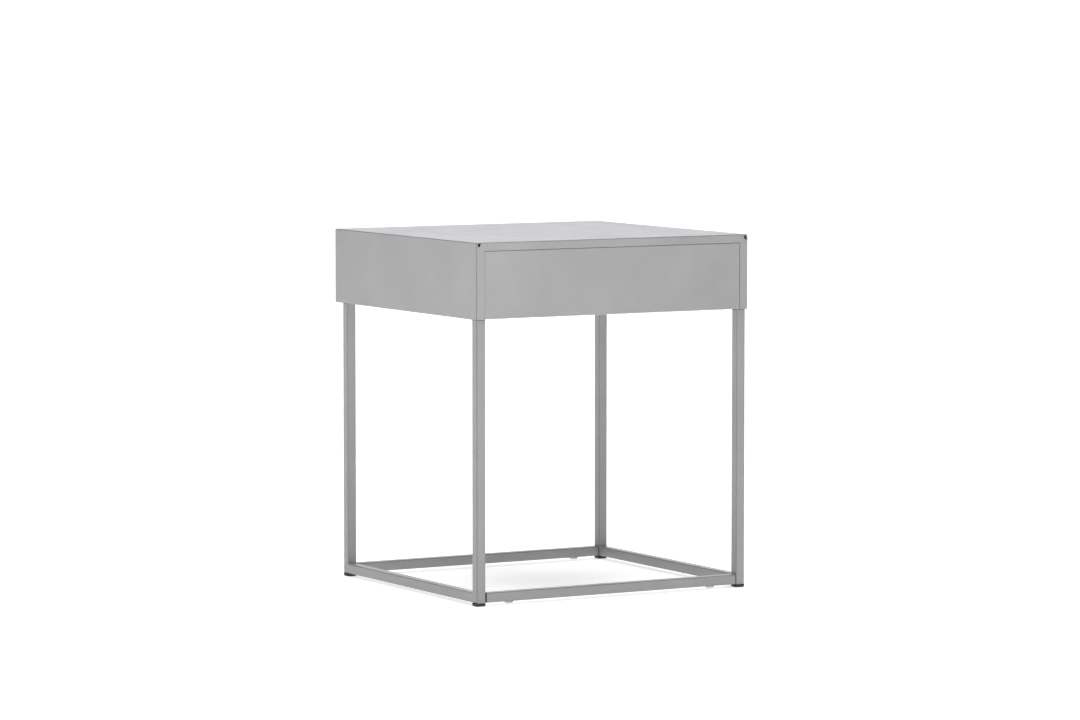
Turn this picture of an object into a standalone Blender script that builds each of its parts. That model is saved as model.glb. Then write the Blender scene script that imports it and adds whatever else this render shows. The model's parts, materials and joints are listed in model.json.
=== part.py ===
"""Side table with one drawer: a folded steel case on two welded tube frames.

The front faces -Y, +X is to the right as seen from the front and +Z is up.
The origin is on the floor under the middle of the table. Lengths are in metres.
"""

import math

import bmesh
import bpy
from mathutils import Matrix, Vector

# Overall size
WIDTH = 0.472
DEPTH = 0.450
HEIGHT = 0.540
CASE_HEIGHT = 0.114
FIT = 0.0003  # air between two pieces that touch

# Sheet metal
SHEET = 0.0012  # case, drawer front and brackets
THIN_SHEET = 0.0010  # drawer box
BEND = 0.0016  # outer bend radius of the case
BEND_STEPS = 4

# Case
CASE_BOTTOM = HEIGHT - CASE_HEIGHT
SIDE_FLANGE = 0.0137  # front frame of the case, beside the drawer
TOP_FLANGE = 0.0123  # front frame of the case, above the drawer
CASE_INNER_X = WIDTH / 2 - SHEET
OPENING_X = WIDTH / 2 - SIDE_FLANGE
OPENING_TOP = HEIGHT - TOP_FLANGE
RELIEF_LENGTH = 0.0060  # slot left at the corner where three bends meet
RELIEF_WIDTH = 0.0032
RELIEF_IN = 0.0052  # slot centre, in from the side of the case
RELIEF_DOWN = 0.0052  # slot centre, down from the top of the case
RELIEF_SLOPE = math.radians(60)

# Tube frames
TUBE = 0.015
TUBE_WALL = 0.0012
TUBE_CORNER = 0.0019
SIDE_INSET = 0.0022  # case side to leg
FRONT_INSET = 0.0030  # case front to front leg
BACK_INSET = 0.0200  # case back to back leg
FOOT_HEIGHT = 0.0050
SKIRT = 0.0005  # how far the case reaches below the top rails
LEG_X = WIDTH / 2 - SIDE_INSET - TUBE / 2
FRONT_LEG_Y = -DEPTH / 2 + FRONT_INSET + TUBE / 2
BACK_LEG_Y = DEPTH / 2 - BACK_INSET - TUBE / 2
FRAME_TOP = CASE_BOTTOM + SKIRT + TUBE
LOW_RAIL_Z = FOOT_HEIGHT + TUBE / 2
TOP_RAIL_Z = FRAME_TOP - TUBE / 2
LEG_INNER_X = LEG_X - TUBE / 2

# Crossbars, each slipped over two spigots that are welded to the legs
CROSSBAR_GAP_LEFT = 0.0012
CROSSBAR_GAP_RIGHT = 0.0005
SPIGOT = 0.0120
SPIGOT_LENGTH = 0.055
CROSSBAR_BOLT_IN = 0.043  # leg to bolt

# Fasteners
M6_RADIUS = 0.0029
M6_HOLE = 0.0033
M6_LENGTH = 0.0105
M6_HEAD_HEIGHT = 0.0033
CROSSBAR_HEAD_RADIUS = 0.0068
FRAME_HEAD_RADIUS = 0.00525
ACCESS_HOLE = 0.0062  # in the underside of a top rail, for the frame bolt's head
WELD_NUT = 0.0050  # height of the nuts welded to the case bottom
FRAME_BOLT_Y = (-0.150, 0.135)
M4_RADIUS = 0.0019
M4_HOLE = 0.0023
M4_HEAD_RADIUS = 0.0040
M4_HEAD_HEIGHT = 0.0023
FASTENER_SIDES = 12

# Case bottom
BOTTOM_FRONT_Y = -DEPTH / 2 + 0.035  # leaves room for fingers behind the drawer front
BOTTOM_SIDE_FLANGE = 0.008
BOTTOM_Z = FRAME_TOP + FIT

# Drawer slides: three-part ball-bearing slides, drawn as (u, v) sections,
# u from the case towards the drawer and v up from the middle of the slide
SLIDE_LENGTH = 0.400
SLIDE_THICKNESS = 0.0127
SLIDE_HALF_HEIGHT = 0.0228
SLIDE_CLEARANCE = 0.0005  # moving members to the case's front frame
MIDDLE_WEB_U = 0.0029  # face of the middle member nearest the case
SLIDE_X = OPENING_X - SLIDE_CLEARANCE + MIDDLE_WEB_U  # back of the outer member
SLIDE_Y = -0.0125
SLIDE_Z = 0.475
SLIDE_HOLE_Y = 0.150  # fasteners, before and behind the middle of the slide
CAGE_LENGTH = 0.190
CAGE_SHEET = 0.0006
BALLS_PER_ROW = 6
OUTER_SECTION = ((0.0104, 0.0195), (0.0104, 0.0222), (0.0006, 0.0222))
MIDDLE_SECTION = ((0.0106, 0.0148), (0.0106, 0.0167), (0.0035, 0.0167))
INNER_SECTION = ((0.0055, 0.0117), (0.0121, 0.0117))
OUTER_CAGE_SECTION = ((0.0086, 0.0196), (0.00205, 0.0196))
INNER_CAGE_SECTION = ((0.0092, 0.0142), (0.0048, 0.0142))
OUTER_BALL = (0.0062, 0.0018)  # place along u, and radius
INNER_BALL = (0.0072, 0.0017)

# Release levers in the inner members
LEVER_Y = -0.035
LEVER_U = 0.0063
LEVER_THICKNESS = 0.0030
LEVER_HOLE = 0.0024
LEVER_PIN = 0.0020

# Drawer
FRONT_GAP = 0.0005  # drawer front to the case's front frame
FRONT_THICKNESS = 0.0120
FRONT_BOTTOM = CASE_BOTTOM + 0.0006
FRONT_TOP = OPENING_TOP - FRONT_GAP
FRONT_X = OPENING_X - FRONT_GAP
FRONT_BACK_Y = -DEPTH / 2 + FRONT_THICKNESS
TOP_LIP = 0.019
BOTTOM_LIP = 0.036
TRAY_X = SLIDE_X - SLIDE_THICKNESS - FIT  # outside of the drawer box
TRAY_FRONT_Y = FRONT_BACK_Y + FIT
TRAY_BACK_Y = TRAY_FRONT_Y + SLIDE_LENGTH
TRAY_BOTTOM = 0.4493
TRAY_TOP = 0.516
TRAY_FRONT_TOP = 0.524
HEM = 0.008
HEM_GAP = 0.0012
WALL_FLANGE = 0.012
FRONT_SCREW_X = 0.140
FRONT_SCREW_Z = (0.4565, 0.5150)


# ---------------------------------------------------------------- outlines

def circle(radius):
    """Points on a circle, one for each side of a fastener."""
    angles = (2 * math.pi * n / FASTENER_SIDES for n in range(FASTENER_SIDES))
    return [(radius * math.cos(a), radius * math.sin(a)) for a in angles]


def hexagon(across_flats):
    """The same number of points as circle(), on a hexagon."""
    sixth = math.pi / 3
    points = []
    for n in range(FASTENER_SIDES):
        angle = 2 * math.pi * n / FASTENER_SIDES
        radius = across_flats / 2 / math.cos(angle % sixth - sixth / 2)
        points.append((radius * math.cos(angle), radius * math.sin(angle)))
    return points


def rounded_square(side, radius, steps=2):
    """Points on a square with round corners, counter-clockwise."""
    half = side / 2 - radius
    points = []
    for quarter, (cx, cy) in enumerate(((half, half), (-half, half), (-half, -half), (half, -half))):
        for step in range(steps + 1):
            angle = math.pi / 2 * (quarter + step / steps)
            points.append((cx + radius * math.cos(angle), cy + radius * math.sin(angle)))
    return points


def folded_outline(path, thickness, steps=3):
    """Closed outline of a sheet whose middle follows path, with a round bend at each corner."""
    middle_radius = thickness
    sides = {1: [], -1: []}
    points = [Vector(p) for p in path]
    for side, outline in sides.items():
        offset = side * thickness / 2
        first, last = points[0], points[-1]
        start = (points[1] - first).normalized()
        end = (last - points[-2]).normalized()
        outline.append(first + offset * Vector((-start.y, start.x)))
        for before, corner, after in zip(points, points[1:], points[2:]):
            into = (corner - before).normalized()
            out = (after - corner).normalized()
            turn = math.atan2(into.cross(out), into.dot(out))
            left = math.copysign(1, turn)
            tangent = corner - into * middle_radius * math.tan(abs(turn) / 2)
            centre = tangent + left * middle_radius * Vector((-into.y, into.x))
            spoke = (tangent - centre) * (middle_radius - left * offset) / middle_radius
            for step in range(steps + 1):
                outline.append(centre + Matrix.Rotation(turn * step / steps, 2) @ spoke)
        outline.append(last + offset * Vector((-end.y, end.x)))
    return [tuple(p) for p in sides[1] + sides[-1][::-1]]


def mirrored(half_section):
    """A section that is the same above and below its middle, from its upper half."""
    return tuple(half_section) + tuple((u, -v) for u, v in reversed(half_section))


# ------------------------------------------------------------------ solids

AXES = {
    "X": lambda a, b, along: (along, a, b),
    "Y": lambda a, b, along: (a, along, b),
    "Z": lambda a, b, along: (a, b, along),
}


def skin(bm, ring, other):
    """Faces between two rings with the same number of vertices."""
    for n in range(len(ring)):
        bm.faces.new((ring[n - 1], ring[n], other[n], other[n - 1]))


def loft(sections, axis="Z"):
    """Solid through sections, each a ring of points and its place along the axis."""
    bm = bmesh.new()
    rings = [[bm.verts.new(AXES[axis](a, b, along)) for a, b in points] for points, along in sections]
    for ring, other in zip(rings, rings[1:]):
        skin(bm, ring, other)
    bm.faces.new(rings[0])
    bm.faces.new(rings[-1])
    return bm


def prism(outline, length, axis):
    return loft(((outline, -length / 2), (outline, length / 2)), axis)


def square_tube(length):
    """The frame's tube along Z, open at both ends."""
    bm = bmesh.new()
    bore = TUBE - 2 * TUBE_WALL
    ends = []
    for z in (-length / 2, length / 2):
        outer = [bm.verts.new((x, y, z)) for x, y in rounded_square(TUBE, TUBE_CORNER)]
        inner = [bm.verts.new((x, y, z)) for x, y in rounded_square(bore, TUBE_CORNER - TUBE_WALL)]
        skin(bm, outer, inner)
        ends.append((outer, inner))
    for ring, other in zip(*ends):
        skin(bm, ring, other)
    return bm


def box(size):
    bm = bmesh.new()
    bmesh.ops.create_cube(bm, size=1)
    bmesh.ops.scale(bm, verts=bm.verts, vec=size)
    return bm


def folded_box(size, radius, bent):
    """A box with a round edge wherever two of its bent faces meet."""
    bm = box(size)
    bent_directions = [Vector(direction) for direction in bent]
    edges = [
        edge
        for edge in bm.edges
        if all(any(face.normal.dot(d) > 0.9 for d in bent_directions) for face in edge.link_faces)
    ]
    bmesh.ops.bevel(
        bm, geom=edges, offset=radius, segments=BEND_STEPS, profile=0.5, affect="EDGES", clamp_overlap=True
    )
    return bm


# ----------------------------------------------------------------- objects

def clear_scene():
    for obj in list(bpy.data.objects):
        bpy.data.objects.remove(obj, do_unlink=True)


def finish(name, colour, roughness, metallic):
    material = bpy.data.materials.new(name)
    material.use_nodes = True
    shader = material.node_tree.nodes["Principled BSDF"]
    shader.inputs["Base Color"].default_value = (*colour, 1)
    shader.inputs["Roughness"].default_value = roughness
    shader.inputs["Metallic"].default_value = metallic
    return material


def body(name, origin=(0, 0, 0)):
    """The empty that one rigid group of pieces hangs from."""
    empty = bpy.data.objects.new(name, None)
    empty.location = origin
    bpy.context.scene.collection.objects.link(empty)
    return empty


def place(name, mesh, group, location=(0, 0, 0), rotation=(0, 0, 0)):
    """A new object that shows mesh, at a place in the table's frame."""
    obj = bpy.data.objects.new(name, mesh)
    bpy.context.scene.collection.objects.link(obj)
    obj.location = location
    obj.rotation_euler = [math.radians(angle) for angle in rotation]
    if group:
        obj.parent = group
        obj.matrix_parent_inverse = Matrix.Translation(group.location).inverted()
    return obj


def mesh_of(bm, name, material=None):
    bmesh.ops.recalc_face_normals(bm, faces=bm.faces)
    mesh = bpy.data.meshes.new(name)
    bm.to_mesh(mesh)
    bm.free()
    if material:
        mesh.materials.append(material)
    mesh.shade_smooth()
    mesh.set_sharp_from_angle(angle=math.radians(35))
    return mesh


def span(low, high):
    """The size and the middle of the box between two corners."""
    low, high = Vector(low), Vector(high)
    return high - low, (low + high) / 2


def combine(obj, bm, location, operation="DIFFERENCE", rotation=(0, 0, 0)):
    """Cuts the shape bm out of obj, or joins it on, and keeps it as a hidden helper."""
    helper = place(f"{obj.name}_helper", mesh_of(bm, "helper"), None, location, rotation)
    helper.hide_render = True
    helper.display_type = "WIRE"
    modifier = obj.modifiers.new(operation.title(), "BOOLEAN")
    modifier.operation = operation
    modifier.solver = "EXACT"
    modifier.object = helper


def cut_box(obj, low, high):
    size, middle = span(low, high)
    combine(obj, box(size), middle)


def cut_hole(obj, location, radius, length, axis):
    combine(obj, prism(circle(radius), length, axis), location)


def bake(obj):
    """Applies the modifiers, so that copies can share the mesh."""
    graph = bpy.context.evaluated_depsgraph_get()
    baked = bpy.data.meshes.new_from_object(obj.evaluated_get(graph))
    helpers = [modifier.object for modifier in obj.modifiers]
    obj.modifiers.clear()
    obj.data = baked
    for helper in helpers:
        bpy.data.objects.remove(helper, do_unlink=True)
    return baked


# -------------------------------------------------------------------- case

LEFT, RIGHT, FRONT, BACK, UP = (-1, 0, 0), (1, 0, 0), (0, -1, 0), (0, 1, 0), (0, 0, 1)
BEYOND = 0.010  # how far a cutter runs past an open face


def case_shell(group, paint):
    """Top, sides and front frame, folded from one sheet; open below and behind."""
    size, middle = span((-WIDTH / 2, -DEPTH / 2, CASE_BOTTOM), (WIDTH / 2, DEPTH / 2, HEIGHT))
    shell = place(
        "casing_shell",
        mesh_of(folded_box(size, BEND, (LEFT, RIGHT, FRONT, UP)), "casing_shell", paint),
        group,
        middle,
    )
    hollow, hollow_middle = span(
        (-CASE_INNER_X, -DEPTH / 2 + SHEET, CASE_BOTTOM - BEYOND),
        (CASE_INNER_X, DEPTH / 2 + BEYOND, HEIGHT - SHEET),
    )
    combine(shell, folded_box(hollow, BEND - SHEET, (LEFT, RIGHT, FRONT, UP)), hollow_middle)
    cut_box(
        shell,
        (-OPENING_X, -DEPTH / 2 - BEYOND, CASE_BOTTOM - BEYOND),
        (OPENING_X, -DEPTH / 2 + 2 * SHEET, OPENING_TOP),
    )
    slot = folded_outline(((-RELIEF_LENGTH / 2, 0), (RELIEF_LENGTH / 2, 0)), RELIEF_WIDTH)
    for side in (-1, 1):
        place_at = (side * (WIDTH / 2 - RELIEF_IN), -DEPTH / 2, HEIGHT - RELIEF_DOWN)
        tilt = (0, side * math.degrees(RELIEF_SLOPE), 0)
        combine(shell, prism(slot, 3 * SHEET, "Y"), place_at, rotation=tilt)


def back_panel(group, paint):
    """Closes the case behind; its top and bottom edges are turned forward."""
    face = DEPTH / 2 - SKIRT - SHEET / 2
    top = HEIGHT - SHEET - FIT - SHEET / 2
    low = CASE_BOTTOM + SKIRT + SHEET / 2
    path = ((face - WALL_FLANGE, top), (face, top), (face, low), (face - WALL_FLANGE, low))
    outline = folded_outline(path, SHEET)
    mesh = mesh_of(prism(outline, 2 * (CASE_INNER_X - FIT), "X"), "back_panel", paint)
    place("back_panel", mesh, group)


def bottom_panel(group, paint):
    """Rests on the top rails and carries the weld nuts for the frame bolts."""
    edge = CASE_INNER_X - FIT - SHEET / 2
    level = BOTTOM_Z + SHEET / 2
    rim = level + BOTTOM_SIDE_FLANGE
    back = DEPTH / 2 - SKIRT - SHEET - FIT
    outline = folded_outline(((-edge, rim), (-edge, level), (edge, level), (edge, rim)), SHEET)
    mesh = mesh_of(prism(outline, back - BOTTOM_FRONT_Y, "Y"), "bottom_panel", paint)
    panel = place("bottom_panel", mesh, group, (0, (BOTTOM_FRONT_Y + back) / 2, 0))
    size, middle = span(
        (-LEG_INNER_X + SKIRT, BOTTOM_FRONT_Y, CASE_BOTTOM + 2 * SKIRT),
        (LEG_INNER_X - SKIRT, BOTTOM_FRONT_Y + SHEET, BOTTOM_Z + SHEET / 2),
    )
    combine(panel, box(size), middle, "UNION")
    for side in (-1, 1):
        for y in FRAME_BOLT_Y:
            base = BOTTOM_Z + SHEET / 2
            nut = loft(((hexagon(0.010), 0), (hexagon(0.010), WELD_NUT + SHEET / 2)))
            combine(panel, nut, (side * LEG_X, y, base), "UNION")
            cut_hole(panel, (side * LEG_X, y, BOTTOM_Z), M6_HOLE, 4 * WELD_NUT, "Z")


def slide_brackets(group, paint):
    """Channels inside the case sides that hold the slides clear of the front frame."""
    toe = CASE_INNER_X - FIT
    web = SLIDE_X + FIT + SHEET / 2
    reach = SLIDE_HALF_HEIGHT + SHEET / 2
    section = mirrored(((toe, reach), (web, reach)))
    outline = folded_outline(section, SHEET)
    mesh = mesh_of(prism(outline, SLIDE_LENGTH, "Y"), "slide_bracket", paint)
    for name, turn in (("left", 180), ("right", 0)):
        place(f"slide_bracket_{name}", mesh, group, (0, SLIDE_Y, SLIDE_Z), (0, 0, turn))


# ------------------------------------------------------------- tube frames

def legs(group, paint):
    """Four legs, open at both ends."""
    leg_length = FRAME_TOP - FOOT_HEIGHT
    leg = mesh_of(square_tube(leg_length), "leg", paint)
    for side, x in (("left", -LEG_X), ("right", LEG_X)):
        for end, y in (("front", FRONT_LEG_Y), ("back", BACK_LEG_Y)):
            place(f"leg_{end}_{side}", leg, group, (x, y, FOOT_HEIGHT + leg_length / 2))


def side_rails(group, paint):
    """The low and top rails that are welded between the legs of each side frame."""
    length = BACK_LEG_Y - FRONT_LEG_Y - TUBE - 2 * FIT
    middle_y = (FRONT_LEG_Y + BACK_LEG_Y) / 2
    low_rail = mesh_of(square_tube(length), "low_rail", paint)
    top_rail = place("top_rail_left", mesh_of(square_tube(length), "top_rail", paint), group)
    top_rail.location = (-LEG_X, middle_y, TOP_RAIL_Z)
    top_rail.rotation_euler.x = math.pi / 2
    for y in FRAME_BOLT_Y:
        cut_hole(top_rail, (-LEG_X, y, TOP_RAIL_Z), M6_HOLE, 2 * TUBE, "Z")
        cut_hole(top_rail, (-LEG_X, y, TOP_RAIL_Z - TUBE), ACCESS_HOLE, 1.5 * TUBE, "Z")
    bake(top_rail)
    place("top_rail_right", top_rail.data, group, (LEG_X, middle_y, TOP_RAIL_Z), (90, 0, 0))
    for side, x in (("left", -LEG_X), ("right", LEG_X)):
        place(f"bottom_rail_{side}", low_rail, group, (x, middle_y, LOW_RAIL_Z), (90, 0, 0))


def crossbars(group, paint):
    """Front and back bars, with the spigots inside their ends."""
    left = -LEG_INNER_X + CROSSBAR_GAP_LEFT
    right = LEG_INNER_X - CROSSBAR_GAP_RIGHT
    middle = ((left + right) / 2, FRONT_LEG_Y, LOW_RAIL_Z)
    mesh = mesh_of(square_tube(right - left), "crossbar", paint)
    bar = place("crossbar_front", mesh, group, middle, (0, 90, 0))
    bolt_x = LEG_INNER_X - CROSSBAR_BOLT_IN
    for side in (-1, 1):
        cut_hole(bar, (side * bolt_x, FRONT_LEG_Y, FOOT_HEIGHT), M6_HOLE, TUBE, "Z")
    bake(bar)
    place("crossbar_back", bar.data, group, (middle[0], BACK_LEG_Y, LOW_RAIL_Z), (0, 90, 0))

    spigot_x = LEG_INNER_X - FIT - SPIGOT_LENGTH / 2
    outline = rounded_square(SPIGOT, TUBE_CORNER - TUBE_WALL + FIT)
    spigot = place(
        "spigot_front_right",
        mesh_of(prism(outline, SPIGOT_LENGTH, "X"), "spigot", paint),
        group,
        (spigot_x, FRONT_LEG_Y, LOW_RAIL_Z),
    )
    cut_hole(spigot, (bolt_x, FRONT_LEG_Y, LOW_RAIL_Z), M6_HOLE, 2 * TUBE, "Z")
    bake(spigot)
    for name, x, y, turn in (
        ("front_left", -spigot_x, FRONT_LEG_Y, 180),
        ("back_left", -spigot_x, BACK_LEG_Y, 180),
        ("back_right", spigot_x, BACK_LEG_Y, 0),
    ):
        place(f"spigot_{name}", spigot.data, group, (x, y, LOW_RAIL_Z), (0, 0, turn))


def feet(group, plastic):
    """Black glides: a pad under the tube and a ribbed plug inside it."""
    pad, plug, rib = 0.0160, 0.0112, 0.0120
    pad_top = FOOT_HEIGHT - FIT
    corner = TUBE_CORNER + 0.0005
    small = TUBE_CORNER - TUBE_WALL
    sections = [
        (rounded_square(pad - 0.002, corner), 0),
        (rounded_square(pad, corner), 0.0010),
        (rounded_square(pad, corner), pad_top),
        (rounded_square(plug, small), pad_top),
    ]
    for z in (0.008, 0.013):
        sections += [(rounded_square(plug, small), z), (rounded_square(rib, small), z + 0.0004)]
        sections += [(rounded_square(rib, small), z + 0.0010), (rounded_square(plug, small), z + 0.0020)]
    mesh = mesh_of(loft(sections), "foot", plastic)
    for side, x in (("left", -LEG_X), ("right", LEG_X)):
        for end, y in (("front", FRONT_LEG_Y), ("back", BACK_LEG_Y)):
            place(f"foot_{end}_{side}", mesh, group, (x, y, 0))


# --------------------------------------------------------------- fasteners

def button_bolt(head_radius, name, metal):
    """Hex-socket button-head bolt: the head is above z = 0 and the shank below."""
    head, socket, top = M6_HEAD_HEIGHT, 0.0020, 0.0030
    end = -M6_LENGTH
    sections = [
        (hexagon(0.0040), head - socket),
        (hexagon(0.0040), head),
        (circle(top), head),
        (circle(0.62 * head_radius), 0.80 * head),
        (circle(0.80 * head_radius), 0.45 * head),
        (circle(head_radius), 0.25 * head),
        (circle(head_radius), 0),
        (circle(M6_RADIUS), 0),
        (circle(M6_RADIUS), end + 0.0008),
        (circle(M6_RADIUS - 0.0008), end),
    ]
    return mesh_of(loft(sections), name, metal)


def pan_screw(name, length, metal):
    """Pan-head screw with a cross recess simplified to a hexagon."""
    head = M4_HEAD_HEIGHT
    sections = [
        (hexagon(0.0022), head - 0.0012),
        (hexagon(0.0022), head),
        (circle(0.55 * M4_HEAD_RADIUS), head),
        (circle(0.90 * M4_HEAD_RADIUS), 0.70 * head),
        (circle(M4_HEAD_RADIUS), 0.30 * head),
        (circle(M4_HEAD_RADIUS), 0),
        (circle(M4_RADIUS), 0),
        (circle(M4_RADIUS), -length),
    ]
    return mesh_of(loft(sections), name, metal)


def frame_fasteners(group, metal):
    crossbar_bolt = button_bolt(CROSSBAR_HEAD_RADIUS, "crossbar_bolt", metal)
    bolt_x = LEG_INNER_X - CROSSBAR_BOLT_IN
    frame_bolt = button_bolt(FRAME_HEAD_RADIUS, "frame_bolt", metal)
    under_top_wall = FRAME_TOP - TUBE_WALL - FIT
    for side, sign in (("left", -1), ("right", 1)):
        for end, y, bolt_y in (
            ("front", FRONT_LEG_Y, FRAME_BOLT_Y[0]),
            ("back", BACK_LEG_Y, FRAME_BOLT_Y[1]),
        ):
            low = (sign * bolt_x, y, FOOT_HEIGHT - FIT)
            place(f"crossbar_bolt_{end}_{side}", crossbar_bolt, group, low, (180, 0, 0))
            high = (sign * LEG_X, bolt_y, under_top_wall)
            place(f"frame_bolt_{end}_{side}", frame_bolt, group, high, (180, 0, 0))


# ------------------------------------------------------------------ slides

def slide_bodies(name):
    """The left and the right body of a moving part of the slides."""
    sides = (("left", -SLIDE_X), ("right", SLIDE_X))
    return [body(f"{name}_{side}", (x, SLIDE_Y, SLIDE_Z)) for side, x in sides]


def member(name, section, thickness, length, metal, group):
    """One folded slide member; it is drawn on the left, where u runs along +X."""
    outline = folded_outline(mirrored(section), thickness)
    mesh = mesh_of(prism(outline, length, "Y"), name, metal)
    return place(f"{name}_left", mesh, group, (-SLIDE_X, SLIDE_Y, SLIDE_Z))


def opposite(obj, group):
    """Bakes a left-hand piece and turns a copy of it round for the right-hand slide."""
    name = obj.name.replace("left", "right")
    return place(name, bake(obj), group, (SLIDE_X, SLIDE_Y, SLIDE_Z), (0, 0, 180))


def outer_members(group, metal):
    outer = member("slide_outer", OUTER_SECTION, SHEET, SLIDE_LENGTH, metal, group)
    flush_radius = 0.0035
    for y in (-SLIDE_HOLE_Y, SLIDE_HOLE_Y):
        cut_hole(outer, (-SLIDE_X, SLIDE_Y + y, SLIDE_Z), flush_radius + FIT, 4 * SHEET, "X")
    opposite(outer, group)
    rivet = loft(
        (
            (circle(0.0012), 0.0008),
            (circle(0.0018), 0.0011),
            (circle(flush_radius), 0.0011),
            (circle(flush_radius), 0.0001),
        ),
        "X",
    )
    rivet_mesh = mesh_of(rivet, "slide_rivet", metal)
    for side, sign, turn in (("left", -1, 0), ("right", 1, 180)):
        for end, y in (("front", -SLIDE_HOLE_Y), ("back", SLIDE_HOLE_Y)):
            where = (sign * SLIDE_X, SLIDE_Y + y, SLIDE_Z)
            place(f"slide_rivet_{end}_{side}", rivet_mesh, group, where, (0, 0, turn))


def middle_members(groups, metal):
    middle = member("slide_middle", MIDDLE_SECTION, SHEET, SLIDE_LENGTH, metal, groups[0])
    window = folded_outline(((-0.030, 0), (0.030, 0)), 0.010)
    for y in (-0.120, 0.0, 0.120):
        combine(middle, prism(window, 6 * SHEET, "Z"), (-SLIDE_X + MIDDLE_WEB_U, SLIDE_Y + y, SLIDE_Z),
                rotation=(0, 90, 90))
    opposite(middle, groups[1])


def ball_cage(name, section, ball, groups, metal):
    """A strip bent round a member, with the balls of two races held in it."""
    cage = member(name, section, CAGE_SHEET, CAGE_LENGTH, metal, groups[0])
    u, radius = ball
    v = section[0][1]
    balls = bmesh.new()
    pitch = CAGE_LENGTH / BALLS_PER_ROW
    for row in (-v, v):
        for n in range(BALLS_PER_ROW):
            y = pitch * (n + 0.5) - CAGE_LENGTH / 2
            bmesh.ops.create_uvsphere(
                balls, u_segments=6, v_segments=4, radius=radius, matrix=Matrix.Translation((u, y, row))
            )
    combine(cage, balls, (-SLIDE_X, SLIDE_Y, SLIDE_Z), "UNION")
    opposite(cage, groups[1])


def inner_members(group, metal):
    """The members on the drawer, each with the pin of its release lever."""
    inner = member("slide_inner", INNER_SECTION, SHEET, SLIDE_LENGTH, metal, group)
    for y in (-SLIDE_HOLE_Y, SLIDE_HOLE_Y):
        cut_hole(inner, (-SLIDE_X + SLIDE_THICKNESS, SLIDE_Y + y, SLIDE_Z), M4_HOLE, 6 * SHEET, "X")
    right = place("slide_inner_right", bake(inner), group, (SLIDE_X, SLIDE_Y, SLIDE_Z), (0, 0, 180))
    head = LEVER_U - FIT
    foot = SLIDE_THICKNESS - SHEET / 2
    for obj, side in ((inner, -1), (right, 1)):
        pin = loft(
            (
                (circle(0.0032), head - 0.0006),
                (circle(0.0032), head),
                (circle(LEVER_PIN), head),
                (circle(LEVER_PIN), foot),
            ),
            "X",
        )
        turn = (0, 0, 0) if side < 0 else (0, 0, 180)
        combine(obj, pin, (side * SLIDE_X, LEVER_Y, SLIDE_Z), "UNION", turn)


def release_lever(name, side, group, plastic):
    """Flat lever with a thumb tab in front of its pin and a hook behind."""
    outline = (
        (-0.040, -0.0060),
        (-0.026, -0.0060),
        (-0.022, -0.0030),
        (-0.006, -0.0042),
        (0.006, -0.0042),
        (0.028, -0.0022),
        (0.028, 0.0040),
        (0.024, 0.0050),
        (0.022, 0.0022),
        (0.006, 0.0042),
        (-0.006, 0.0042),
        (-0.022, 0.0030),
        (-0.026, 0.0060),
        (-0.040, 0.0060),
    )
    mesh = mesh_of(prism(outline, LEVER_THICKNESS, "X"), name, plastic)
    x = side * (SLIDE_X - LEVER_U - LEVER_THICKNESS / 2)
    lever = place(name, mesh, group, (x, LEVER_Y, SLIDE_Z))
    cut_hole(lever, (x, LEVER_Y, SLIDE_Z), LEVER_HOLE, 2 * LEVER_THICKNESS, "X")


# ------------------------------------------------------------------ drawer

def drawer_front(group, paint):
    """Folded front panel; its lower corners are notched round the front legs."""
    size, middle = span((-FRONT_X, -DEPTH / 2, FRONT_BOTTOM), (FRONT_X, FRONT_BACK_Y, FRONT_TOP))
    bent = (LEFT, RIGHT, FRONT, BACK, UP, (0, 0, -1))
    mesh = mesh_of(folded_box(size, 0.75 * BEND, bent), "drawer_front", paint)
    front = place("drawer_front", mesh, group, middle)
    cut_box(
        front,
        (-FRONT_X + SHEET, -DEPTH / 2 + SHEET, FRONT_BOTTOM + SHEET),
        (FRONT_X - SHEET, FRONT_BACK_Y - SHEET, FRONT_TOP - SHEET),
    )
    cut_box(
        front,
        (-FRONT_X + SHEET, FRONT_BACK_Y - 2 * SHEET, FRONT_BOTTOM + BOTTOM_LIP),
        (FRONT_X - SHEET, FRONT_BACK_Y + BEYOND, FRONT_TOP - TOP_LIP),
    )
    notch_x = LEG_INNER_X - 2 * SKIRT
    for side in (-1, 1):
        low_x, high_x = sorted((side * notch_x, side * (FRONT_X + BEYOND)))
        cut_box(
            front,
            (low_x, -DEPTH / 2 + SHEET + FIT / 2, FRONT_BOTTOM - BEYOND),
            (high_x, FRONT_BACK_Y + BEYOND, FRAME_TOP + 2 * SKIRT),
        )
        for z in FRONT_SCREW_Z:
            cut_hole(front, (side * FRONT_SCREW_X, FRONT_BACK_Y, z), M4_HOLE, 4 * SHEET, "Y")


def drawer_tray(group, paint):
    """Bottom and sides of the drawer box, folded from one sheet with hemmed rims."""
    side = TRAY_X - THIN_SHEET / 2
    hem = side - THIN_SHEET - HEM_GAP
    top = TRAY_TOP - THIN_SHEET / 2
    bottom = TRAY_BOTTOM + THIN_SHEET / 2
    half = ((-hem, top - HEM), (-hem, top), (-side, top), (-side, bottom))
    path = half + tuple((-x, z) for x, z in reversed(half))
    outline = folded_outline(path, THIN_SHEET)
    mesh = mesh_of(prism(outline, SLIDE_LENGTH, "Y"), "drawer_tray", paint)
    tray = place("drawer_tray", mesh, group, (0, (TRAY_FRONT_Y + TRAY_BACK_Y) / 2, 0))
    for y in (-SLIDE_HOLE_Y, SLIDE_HOLE_Y):
        cut_hole(tray, (0, SLIDE_Y + y, SLIDE_Z), M4_HOLE, WIDTH, "X")


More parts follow.
